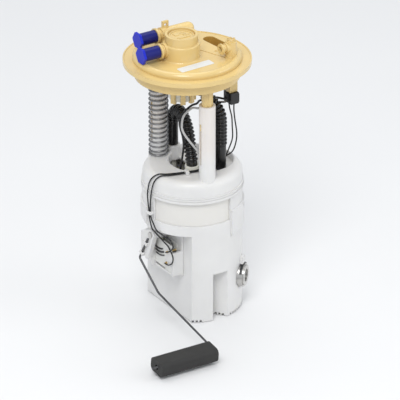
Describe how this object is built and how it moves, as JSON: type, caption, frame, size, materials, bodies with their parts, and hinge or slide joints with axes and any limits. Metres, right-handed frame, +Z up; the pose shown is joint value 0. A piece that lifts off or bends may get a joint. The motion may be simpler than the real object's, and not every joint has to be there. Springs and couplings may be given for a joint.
{
  "type": "in-tank fuel pump module",
  "caption": "In-tank fuel pump module: round yellow flange on two guides over a white reservoir with pump, filter, corrugated hoses, level sender, float and capped nipples.",
  "frame": {"origin": "on the reservoir's axis, in the plane of its foot", "axes": "+Z up from the tank floor to the flange; -X is the way the two capped nipples and the float point; +Y follows by the right-hand rule"},
  "size_m": [0.181, 0.1981, 0.3047],
  "materials": {
    "white_plastic": "satin",
    "yellow_plastic": "gloss",
    "blue_plastic": "gloss",
    "black_plastic": "satin",
    "ivory_plastic": "satin",
    "black_hose": "gloss",
    "wire_cover": "satin",
    "grey_foam": "matte",
    "rubber": "matte",
    "steel": "satin",
    "dark_steel": "satin",
    "grey_plastic": "satin",
    "brass": "satin",
    "copper": "satin",
    "carbon": "matte",
    "ferrite": "matte",
    "filter_media": "matte"
  },
  "bodies": {
    "reservoir": {"reservoir_cup": "white_plastic", "reservoir_lid": "white_plastic", "foot_valve": "rubber", "inlet_strainer": "filter_media", "pump_cradle": "white_plastic", "pump_damper": "rubber", "pump_can": "steel", "pump_inlet_cover": "grey_plastic", "pump_mid_plate": "grey_plastic", "pump_outlet_cover": "grey_plastic", "motor_magnets": "ferrite", "carbon_brushes": "carbon", "outlet_manifold": "ivory_plastic", "filter_housing": "ivory_plastic", "filter_element": "filter_media", "jet_pump": "black_plastic", "jet_pipe": "ivory_plastic", "regulator_can": "steel", "regulator_clip": "black_plastic", "sender_frame": "white_plastic", "resistor_card": "grey_plastic", "sender_terminals": "brass", "wire_clips": "white_plastic", "pivot_pin": "steel", "guide_spring": "dark_steel", "pump_plug": "ivory_plastic", "pump_hose": "black_hose", "hose_clip": "ivory_plastic", "feed_hose": "black_hose", "power_wires": "wire_cover", "sender_wires_upper": "wire_cover", "sender_wires_lower": "wire_cover"},
    "flange": {"flange": "yellow_plastic", "guide_rod_front": "yellow_plastic", "guide_rod_rear": "yellow_plastic", "tower_cap": "yellow_plastic", "vent_valve_body": "ivory_plastic", "vent_crown": "yellow_plastic", "connector_pins": "brass", "harness_plug": "black_plastic", "feed_adapter": "ivory_plastic"},
    "front_cap": {"front_cap": "blue_plastic"},
    "rear_cap": {"rear_cap": "blue_plastic"},
    "float_arm": {"sender_lever": "white_plastic", "wiper_contacts": "brass", "float_arm_wire": "dark_steel", "float": "grey_foam"},
    "pump_rotor": {"pump_shaft": "steel", "armature": "copper", "commutator": "copper", "impeller": "black_plastic"},
    "check_valve": {"check_valve_poppet": "brass"},
    "vent_float": {"vent_valve_float": "grey_plastic"}
  },
  "joints": [
    {"name": "flange_slide", "type": "slide", "parent": "reservoir", "child": "flange", "axis": [0, 0, 1], "range_m": [-0.025, 0], "stiffness_N_per_m": 600, "springref_m": 0.055, "deforming": ["guide_spring", "feed_hose", "power_wires", "sender_wires_upper"]},
    {"name": "front_cap_pull", "type": "slide", "parent": "flange", "child": "front_cap", "axis": [-1, 0, 0], "range_m": [0, 0.025]},
    {"name": "rear_cap_pull", "type": "slide", "parent": "flange", "child": "rear_cap", "axis": [-1, 0, 0], "range_m": [0, 0.025]},
    {"name": "float_arm_pivot", "type": "hinge", "parent": "reservoir", "child": "float_arm", "pos_m": [-0.047, 0, 0.086], "axis": [-1, 0, 0], "range_deg": [0, 75]},
    {"name": "pump_spin", "type": "hinge", "parent": "reservoir", "child": "pump_rotor", "pos_m": [-0.005, -0.014, 0.06], "axis": [0, 0, 1], "continuous": true},
    {"name": "check_valve_lift", "type": "slide", "parent": "reservoir", "child": "check_valve", "axis": [0, 0, 1], "range_m": [0, 0.002]},
    {"name": "vent_float_lift", "type": "slide", "parent": "flange", "child": "vent_float", "axis": [0, 0, 1], "range_m": [0, 0.005]}
  ]
}
